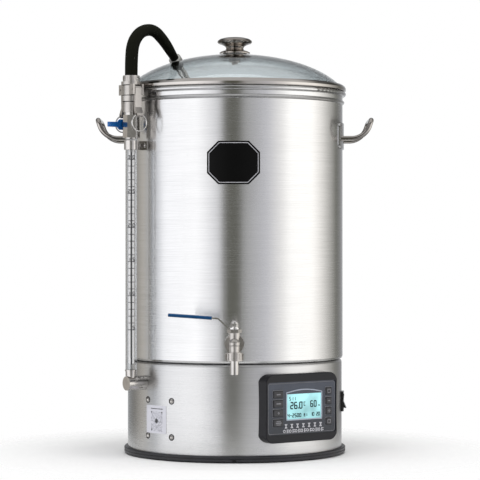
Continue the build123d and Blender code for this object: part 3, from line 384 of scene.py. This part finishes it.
class Prints:
    """Collects thin raised outlines on one surface, and makes them one piece."""

    def __init__(self, surface, low, high):
        self.surface, self.low, self.high = surface, low, high
        self.points, self.faces = [], []

    def polygon(self, outline):
        """A closed outline of (u, v) points, counter-clockwise, as a thin plate."""
        n, start = len(outline), len(self.points)
        for lift in (self.low, self.high):
            self.points += [self.surface(u, v, lift) for u, v in outline]
        self.faces.append([start + k for k in reversed(range(n))])
        self.faces.append([start + n + k for k in range(n)])
        for k in range(n):
            j = (k + 1) % n
            self.faces.append([start + k, start + j, start + n + j, start + n + k])

    def bar(self, u, v, w, h, pieces=1):
        """A rectangle centred at (u, v), cut into pieces so that it follows a curve."""
        for k in range(pieces):
            u0 = u - w / 2 + w * k / pieces
            u1 = u0 + w / pieces
            self.polygon([(u0, v - h / 2), (u1, v - h / 2), (u1, v + h / 2), (u0, v + h / 2)])

    def strip(self, path, width, closed=False):
        """A line of even width through (u, v) points."""
        count = len(path) if closed else len(path) - 1
        for k in range(count):
            (u0, v0), (u1, v1) = path[k], path[(k + 1) % len(path)]
            long = math.hypot(u1 - u0, v1 - v0)
            du, dv = -(v1 - v0) / long * width / 2, (u1 - u0) / long * width / 2
            near = [(u0 - du, v0 - dv), (u1 - du, v1 - dv)]
            self.polygon([*near, (u1 + du, v1 + dv), (u0 + du, v0 + dv)])

    def ring(self, u, v, radius, width, sides=20):
        """A circle of even width; radius is to the middle of the line."""
        around = [math.tau * k / sides for k in range(sides)]
        path = [(u + radius * math.cos(a), v + radius * math.sin(a)) for a in around]
        self.strip(path, width, closed=True)

    def digit(self, character, u, v, w, h, stroke):
        """A seven-segment figure centred at (u, v)."""
        for segment in SEGMENTS[character]:
            (x0, y0), (x1, y1) = SEGMENT_ENDS[segment]
            self.strip([(u + x0 * w / 2, v + y0 * h / 2), (u + x1 * w / 2, v + y1 * h / 2)], stroke)

    def text(self, words, u, v, w, h, stroke, pitch):
        """A row of figures; (u, v) is the middle of the first one."""
        for k, character in enumerate(words):
            if character != " ":
                self.digit(character, u + k * pitch, v, w, h, stroke)

    def make(self, name, mat, body, slot):
        """Turns everything collected so far into one piece."""
        return mesh_piece(name, self.points, self.faces, mat, body)


# Ends of a figure's segments, in half widths and half heights from its middle.
SEGMENT_ENDS = {
    "a": ((-1, 1), (1, 1)),
    "b": ((1, 1), (1, 0)),
    "c": ((1, 0), (1, -1)),
    "d": ((-1, -1), (1, -1)),
    "e": ((-1, 0), (-1, -1)),
    "f": ((-1, 1), (-1, 0)),
    "g": ((-1, 0), (1, 0)),
}
SEGMENTS = {
    "0": "abcdef",
    "1": "bc",
    "2": "abged",
    "3": "abgcd",
    "4": "fgbc",
    "5": "afgcd",
    "6": "afgedc",
    "7": "abc",
    "8": "abcdefg",
    "9": "abcdfg",
    "C": "afed",
    "-": "g",
}


def on_cylinder(cx, cy, radius, bearing):
    """A surface round a vertical cylinder; u is the arc length from a bearing."""

    def surface(u, v, lift):
        a = bearing + u / radius
        r = radius + lift
        return (cx + r * math.sin(a), cy - r * math.cos(a), v)

    return surface


def on_panel(u, v, lift):
    """The control panel's plane; u is sideways, v is up from its centre."""
    a = PANEL_BEARING
    out = PANEL_FACE + lift
    return (out * math.sin(a) + u * math.cos(a), -out * math.cos(a) + u * math.sin(a), PANEL_Z + v)


# ---- sight tube's scale --------------------------------------------------------------------------
LITRE_5_Z, LITRE_30_Z = 0.201, 0.465
SPINE_U, SPINE_W = 0.0006, 0.0013  # middle and width of the scale's upright line
TENS_U, ONES_U = -0.0030, 0.0044
FIGURE_RISE = 0.0036  # middle of a figure above its tick
FIGURE = (0.0026, 0.0046, 0.0010)  # width, height and stroke


def tube_scale():
    """Printed scale on the sight tube: a spine, a tick for every litre, numbers every five."""
    prints = Prints(on_cylinder(TUBE_X, TUBE_Y, TUBE_R, 0.0), 0.00012, 0.00024)
    litre = (LITRE_30_Z - LITRE_5_Z) / 25
    spine_low, spine_high = TUBE_LOW[2] + 0.008, LITRE_30_Z + 0.012
    prints.bar(SPINE_U, (spine_low + spine_high) / 2, SPINE_W, spine_high - spine_low)
    for count in range(5, 31):
        z = LITRE_5_Z + (count - 5) * litre
        if count % 5:
            prints.bar(SPINE_U, z, 0.0095, 0.0009, 6)
        else:
            prints.bar(SPINE_U, z, 0.0125, 0.0010, 8)
            tens, ones = divmod(count, 10)
            if tens:
                prints.digit(str(tens), TENS_U, z + FIGURE_RISE, *FIGURE)
            prints.digit(str(ones), ONES_U, z + FIGURE_RISE, *FIGURE)
    prints.make("tube_scale", PRINT_DARK, "kettle", "badge_black")


def tube_bands():
    """Two white bands printed down the sight tube, one on each side of the scale's spine."""
    low, high = TUBE_LOW[2] + 0.010, TUBE_HIGH[2] - 0.004
    white = Prints(on_cylinder(TUBE_X, TUBE_Y, TUBE_R, 0.0), 0.00002, 0.00008)
    for side in (-1, 1):
        white.bar(SPINE_U + side * 0.0030, (low + high) / 2, 0.0030, high - low, 3)
    white.make("tube_bands", PRINT_WHITE, "kettle", "tube_clear")


tube_scale()
tube_bands()


# ---- control panel's prints ----------------------------------------------------------------------
LCD_W, LCD_H = 0.069, 0.043
LCD_U, LCD_V = 0.0046, 0.0028
PLATE_FACE = -0.00118  # where prints on the face plate start, from the panel's plane


def lcd_window():
    """Light frame round the display, with an arched top and a painted shadow under the arch."""
    w, h = LCD_W / 2 - 0.0004, LCD_H / 2 - 0.0006
    arch = [(-w + 2 * w * k / 12, h + 0.0042 * math.sin(math.pi * k / 12)) for k in range(13)]
    # Painted shadow: a band of dark panel plastic over the display's top, under the arch.
    shade = Prints(on_panel, -0.00150, -0.00110)
    shade.polygon([(LCD_U + u, LCD_V + v) for u, v in [(-w, h - 0.0022), (w, h - 0.0022), *reversed(arch)]])
    shade.make("lcd_shade", MATERIALS["slate_plastic"], "kettle", "slate_plastic")
    frame_print = Prints(on_panel, -0.00155, -0.00060)
    path = [(LCD_U + u, LCD_V + v) for u, v in [(-w, -h), (w, -h), *reversed(arch)]]
    frame_print.strip(path, 0.0017, closed=True)
    frame_print.make("lcd_frame", LCD_FRAME, "kettle", "slate_plastic")


def lcd_figures():
    """Dark figures on the display: a status line, temperature, minutes and a bottom line."""
    ink = Prints(on_panel, -0.0016, -0.0015)
    ink.text("511", LCD_U - 0.0270, LCD_V + 0.0115, 0.0024, 0.0050, 0.0008, 0.0046)
    ink.text("26", LCD_U - 0.0235, LCD_V + 0.0010, 0.0046, 0.0094, 0.0019, 0.0076)
    ink.digit("0", LCD_U - 0.0062, LCD_V + 0.0010, 0.0046, 0.0094, 0.0019)
    ink.bar(LCD_U - 0.0108, LCD_V - 0.0032, 0.0018, 0.0018)
    ink.bar(LCD_U - 0.0022, LCD_V + 0.0056, 0.0013, 0.0013)
    ink.digit("C", LCD_U + 0.0014, LCD_V + 0.0028, 0.0026, 0.0056, 0.0011)
    ink.text("60", LCD_U + 0.0150, LCD_V + 0.0022, 0.0040, 0.0088, 0.0017, 0.0068)
    ink.text("11", LCD_U + 0.0278, LCD_V - 0.0005, 0.0010, 0.0030, 0.0009, 0.0022)
    ink.text("4-2500", LCD_U - 0.0298, LCD_V - 0.0142, 0.0027, 0.0050, 0.0012, 0.0045)
    ink.text("81", LCD_U + 0.0010, LCD_V - 0.0142, 0.0020, 0.0042, 0.0010, 0.0036)
    ink.text("10 20", LCD_U + 0.0145, LCD_V - 0.0138, 0.0026, 0.0050, 0.0010, 0.0037)
    ink.make("lcd_figures", LCD_INK, "kettle", "badge_black")


LEGEND_TOP, LEGEND_LOW = -0.0247, -0.0300  # ends of the upper row's marks


def panel_legend():
    """Two rows of generic light marks below the display."""
    marks = Prints(on_panel, PLATE_FACE, -0.00104)
    for k in range(7):
        u = -0.0305 + 0.0112 * k
        for v in (LEGEND_TOP, LEGEND_LOW):
            marks.bar(u, v, 0.0048, 0.0011)
        for side in (-1, 1):
            ends = [(u + side * 0.0016, LEGEND_TOP), (u - side * 0.0016, LEGEND_LOW)]
            marks.strip(ends, 0.0012)
        marks.ring(u - 0.0030, -0.0350, 0.0020, 0.0011, 8)
        marks.bar(u + 0.0022, -0.0350, 0.0013, 0.0058)
        for v in (-0.0332, -0.0362):
            marks.bar(u + 0.0045, v, 0.0024, 0.0012)
    marks.make("panel_legend", PRINT_LIGHT, "kettle", "slate_plastic")


def panel_outline():
    """Thin light line just inside the face plate's edge."""
    line = Prints(on_panel, PLATE_FACE, -0.00100)
    w, h, r = 0.0640, 0.0383, 0.0035
    path = []
    for quarter, (side, end) in enumerate(((1, 1), (-1, 1), (-1, -1), (1, -1))):
        for k in range(4):
            a = math.radians(90 * quarter + 90 * k / 3)
            path.append((side * (w - r) + r * math.cos(a), end * (h - r) + r * math.sin(a)))
    line.strip(path, 0.0005, closed=True)
    line.make("panel_outline", PRINT_GREY, "kettle", "slate_plastic")


LEFT_U, LEFT_W = -0.046, 0.018
LEFT_ROWS = (0.0220, 0.0080, -0.0065, -0.0215)
RIGHT_U, RIGHT_W = 0.052, 0.011
RIGHT_ROWS = (0.0235, 0.0085, -0.0070, -0.0235)
BUTTON_PRINT = (0.00083, 0.00095)  # bottom and top of a mark on a button, from the panel's face


def left_button_marks():
    """A wide button's mark is a dash; the third has a diamond and the last has three dashes."""
    for k, v in enumerate(LEFT_ROWS):
        mark = Prints(on_panel, *BUTTON_PRINT)
        if k == 2:
            ends = [(-0.0015, 0), (0, -0.0014), (0.0015, 0), (0, 0.0014)]
            mark.strip([(LEFT_U + du, v + dv) for du, dv in ends], 0.0010, closed=True)
        else:
            mark.bar(LEFT_U, v, 0.0075 + 0.0010 * k, 0.0018)
        if k == 3:
            for rise in (0.0027, -0.0027):
                mark.bar(LEFT_U, v + rise, 0.0080, 0.0011)
        name = f"button_left_{k + 1}"
        mark.make(f"{name}_mark", PRINT_GREY, name, "slate_plastic")


def right_button_marks():
    """A narrow button's mark: a square, a dash, a cross and a square."""
    for k, v in enumerate(RIGHT_ROWS):
        mark = Prints(on_panel, *BUTTON_PRINT)
        if k in (0, 3):
            corners = [(-1, -1), (1, -1), (1, 1), (-1, 1)]
            path = [(RIGHT_U + side * 0.0026, v + end * 0.0026) for side, end in corners]
            mark.strip(path, 0.0010, closed=True)
        elif k == 2:
            mark.bar(RIGHT_U, v, 0.0052, 0.0011)
            mark.bar(RIGHT_U, v, 0.0011, 0.0052)
        else:
            mark.bar(RIGHT_U, v, 0.0044, 0.0014)
        name = f"button_right_{k + 1}"
        mark.make(f"{name}_mark", PRINT_GREY, name, "slate_plastic")


def button_rim_highlights():
    """A painted highlight on each button: a light line along its left and top edges, where the bevel
    catches the light.
    """
    rim_highlights = Prints(on_panel, PLATE_FACE, -0.00090)
    for u, rows, w in ((LEFT_U, LEFT_ROWS, LEFT_W), (RIGHT_U, RIGHT_ROWS, RIGHT_W)):
        for v in rows:
            a, b = w / 2 + 0.0008, 0.0061
            rim_highlights.strip([(u - a, v - b), (u - a, v + b), (u + a, v + b)], 0.0007)
    rim_highlights.make("button_rim_highlights", PRINT_GREY, "kettle", "slate_plastic")


lcd_window()
lcd_figures()
panel_legend()
panel_outline()
left_button_marks()
right_button_marks()
button_rim_highlights()


# ---- badge, label and painted shadows ------------------------------------------------------------
BADGE_W, BADGE_H = 0.081, 0.066
BADGE_U, BADGE_Z = -0.0015, 0.458
BADGE_CUT = 0.0160  # how much of each corner is cut off, inside the border
BORDER_INSET = 0.0028


def badge_border():
    """Thin silver line round the blank badge."""
    w, h = BADGE_W / 2 - BORDER_INSET, BADGE_H / 2 - BORDER_INSET
    w_cut, h_cut = w - BADGE_CUT, h - BADGE_CUT
    right = [(w_cut, -h), (w, -h_cut), (w, h_cut), (w_cut, h)]
    left = [(-u, -v) for u, v in right]
    corners = [*left[2:], *right, *left[:2]]
    line = Prints(on_cylinder(0, 0, VESSEL_R, 0.0), 0.00096, 0.00115)
    path = []
    for k, (u, v) in enumerate(corners):
        u1, v1 = corners[(k + 1) % len(corners)]
        for j in range(4):
            path.append((BADGE_U + u + (u1 - u) * j / 4, BADGE_Z + v + (v1 - v) * j / 4))
    line.strip(path, 0.0009, closed=True)
    line.make("badge_border", PRINT_LIGHT, "kettle", "label_silver")


LABEL_BEARING = math.radians(-45.25)
SPECKLE = 0.0014  # pitch of the label's speckles


def label_print():
    """Generic print on the rating label: a line of dashes, a speckled block and four dots."""
    surface = on_cylinder(0, 0, BASE_R, LABEL_BEARING)
    dark, pale = Prints(surface, 0.00046, 0.00052), Prints(surface, 0.00046, 0.00050)
    rng = random.Random(5)
    u = -0.0105
    while u < 0.0150:
        w = rng.uniform(0.0008, 0.0022)
        dark.bar(u + w / 2, 0.0790, w, 0.0014)
        u += w + 0.0005
    for row in range(22):
        for column in range(18):
            if rng.random() < 0.5:
                pale.bar(-0.0100 + column * SPECKLE, 0.0445 + row * SPECKLE, 0.0012, 0.0012)
    for u, v in ((-0.0095, 0.0735), (0.0135, 0.0735), (-0.0095, 0.0465)):
        dark.ring(u, v, 0.0008, 0.0014, 8)
    dark.ring(0.0018, 0.0600, 0.0021, 0.0036, 10)
    dark.make("label_print", PRINT_DARK, "kettle", "badge_black")
    pale.make("label_speckle", LABEL_PALE, "kettle", "label_silver")


SCREW_BEARINGS = (math.radians(-51.7), math.radians(-34.4))
SCREW_HEIGHTS = (0.0364, 0.0920)
SCREW_HEAD_R = 0.0045


def screw_shadows():
    """Painted shadow: a dark ring round each round-headed screw on the base, under the rim of its head."""
    screw_shadow_rings = Prints(on_cylinder(0, 0, BASE_R, 0.0), 0.00002, 0.00020)
    for bearing in SCREW_BEARINGS:
        for z in SCREW_HEIGHTS:
            screw_shadow_rings.ring(bearing * BASE_R, z, SCREW_HEAD_R, 0.0013)
    screw_shadow_rings.make("screw_shadows", SHADOW_DARK, "kettle", "badge_black")


# Radius and height of each step in the coupler's body.
COUPLER_STEPS = ((0.0134, 0.5799), (0.0134, 0.5641), (0.0130, 0.5544))


def coupler_gaps():
    """Painted shadow: a dark line round the coupler's body at each of its steps."""
    for k, (radius, z) in enumerate(COUPLER_STEPS):
        gap = Prints(on_cylinder(TUBE_X, TUBE_Y, radius, 0.0), 0.00005, 0.00025)
        # Each line is painted shadow under a step.
        gap.bar(0.0, z, math.tau * radius, 0.0012, 64)
        gap.make(f"coupler_shadow_{k + 1}", SHADOW_DARK, "kettle", "badge_black")


badge_border()
label_print()
screw_shadows()
coupler_gaps()


# ---- hose ----------------------------------------------------------------------------------------
HOSE_ROUTE = [
    (-0.16034, -0.11186, 0.5950),
    (-0.16034, -0.11186, 0.6240),
    (-0.1575, -0.1085, 0.6480),
    (-0.1460, -0.0945, 0.6665),
    (-0.1275, -0.0695, 0.6715),
    (-0.1125, -0.0455, 0.6560),
    (-0.1030, -0.0285, 0.6415),
    (-0.0962, -0.0165, 0.6305),
]
# The tube's thickness at each point of the route, as a share of its nominal one.
HOSE_SWELL = (1.10, 1.12, 1.11, 1.05, 1.02, 0.97, 0.88, 0.72)


def hose():
    """Rubber hose on a smooth curve, stretched thinner towards the lid."""
    data = bpy.data.curves.new("hose_tube", "CURVE")
    data.dimensions = "3D"
    data.bevel_depth = 0.009
    data.bevel_resolution = 10
    data.use_fill_caps = True
    data.resolution_u = 16
    spline = data.splines.new("NURBS")
    spline.points.add(len(HOSE_ROUTE) - 1)
    for point, place, swell in zip(spline.points, HOSE_ROUTE, HOSE_SWELL):
        point.co = (*place, 1)
        point.radius = swell
    spline.order_u = 3
    spline.use_endpoint_u = True
    data.materials.append(MATERIALS["hose_rubber"])
    obj = bpy.data.objects.new("hose_tube", data)
    bpy.context.scene.collection.objects.link(obj)
    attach(obj, "lid")
    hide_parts("hose")


hose()


# ---- floor and light -----------------------------------------------------------------------------
FLOOR_R, FLOOR_SIDES = 0.5, 96
FLOOR_FADE = (0.24, 0.46)  # the floor is whole inside the first radius and gone past the second


def floor():
    """Round of plain white floor that fades out towards its edge."""
    mesh = bpy.data.meshes.new("floor")
    around = [math.tau * k / FLOOR_SIDES for k in range(FLOOR_SIDES)]
    rim = [(FLOOR_R * math.cos(a), FLOOR_R * math.sin(a), 0) for a in around]
    mesh.from_pydata(rim, [], [list(range(FLOOR_SIDES))])
    t = Material("floor_white")
    t.set(Roughness=0.9)
    tone = t.noise(t.place(), 6.0, 2.0, 0.5)
    t.feed(t.ramp(tone, [(0.3, grey(0.93)), (0.7, grey(0.95))]), "Base Color")
    length = t.add("ShaderNodeVectorMath", operation="LENGTH")
    t.link(t.place(), length.inputs[0])
    t.feed(t.range(length.outputs["Value"], *FLOOR_FADE, 1.0, 0.0), "Alpha")
    mesh.materials.append(t.mat)
    obj = bpy.data.objects.new("floor", mesh)
    bpy.context.scene.collection.objects.link(obj)


# Tone round the studio by bearing from the front, in degrees towards +X; 1 is the brightest.
STUDIO = [
    (-180, (0.44, 0.45, 0.46)),
    (-156, (0.20, 0.205, 0.21)),
    (-136, (0.155, 0.15, 0.14)),
    (-114, (0.38, 0.36, 0.33)),
    (-96, (0.34, 0.355, 0.38)),
    (-80, (0.88, 0.885, 0.91)),
    (-40, (0.985, 0.985, 1.0)),
    (-16, (0.60, 0.60, 0.62)),
    (-10, (0.09, 0.09, 0.075)),
    (4, (0.09, 0.09, 0.075)),
    (11, (0.34, 0.34, 0.34)),
    (34, (0.50, 0.50, 0.53)),
    (51, (0.76, 0.75, 0.74)),
    (61, (1.0, 0.99, 0.97)),
    (90, (1.0, 0.98, 0.95)),
    (103, (0.74, 0.72, 0.69)),
    (117, (0.44, 0.43, 0.41)),
    (137, (0.12, 0.12, 0.105)),
    (156, (0.20, 0.20, 0.205)),
    (180, (0.44, 0.45, 0.46)),
]
# How much of that tone is left, by the height of the direction: 0 is level, 1 straight up.
STUDIO_HEIGHT = [
    (-1.0, 0.45),
    (-0.55, 0.25),
    (-0.26, 0.95),
    (0.0, 1.0),
    (0.2, 1.0),
    (0.42, 0.3),
    (0.6, 0.25),
    (0.78, 1.0),
    (1.0, 1.0),
]
CEILING_HEIGHTS = (0.62, 0.8)  # between them the walls give way to the ceiling
CEILING_TONE = 0.42
STUDIO_STRENGTH = 1.65


def studio():
    """A white studio with soft boxes left and right and a darker gap between them."""
    world = bpy.data.worlds.new("studio")
    bpy.context.scene.world = world
    t = Tree(world)
    x, y, z = t.split(t.add("ShaderNodeTexCoord").outputs["Generated"])
    bearing = t.math("ARCTAN2", x, t.math("MULTIPLY", y, -1.0))
    round_stops = [((degrees + 180) / 360, colour) for degrees, colour in STUDIO]
    walls = t.ramp(t.range(bearing, -math.pi, math.pi), round_stops)
    room = t.mix(t.range(z, *CEILING_HEIGHTS), walls, grey(CEILING_TONE))
    height_stops = [((level + 1) / 2, grey(tone)) for level, tone in STUDIO_HEIGHT]
    by_height = t.ramp(t.range(z, -1.0, 1.0), height_stops)
    lit = t.mix(1.0, room, by_height, "MULTIPLY")
    straight = t.add("ShaderNodeLightPath").outputs["Is Camera Ray"]
    background = t.nodes["Background"]
    t.link(t.mix(straight, lit, grey(1 / STUDIO_STRENGTH)), background.inputs["Color"])
    background.inputs["Strength"].default_value = STUDIO_STRENGTH


def area_light(name, place, target, size, power):
    """A soft rectangular light, aimed at a point, that leaves no reflection of itself."""
    data = bpy.data.lights.new(name, "AREA")
    data.shape = "RECTANGLE"
    data.size, data.size_y = size
    data.energy = power
    light = bpy.data.objects.new(name, data)
    light.location = place
    light.visible_glossy = False
    light.rotation_euler = (Vector(target) - Vector(place)).to_track_quat("-Z", "Y").to_euler()
    bpy.context.scene.collection.objects.link(light)


floor()
studio()
area_light("overhead", (0.0, -0.6, 2.6), (0, 0, 0.3), (2.4, 2.4), 50)
bpy.context.scene.view_settings.view_transform = "Standard"
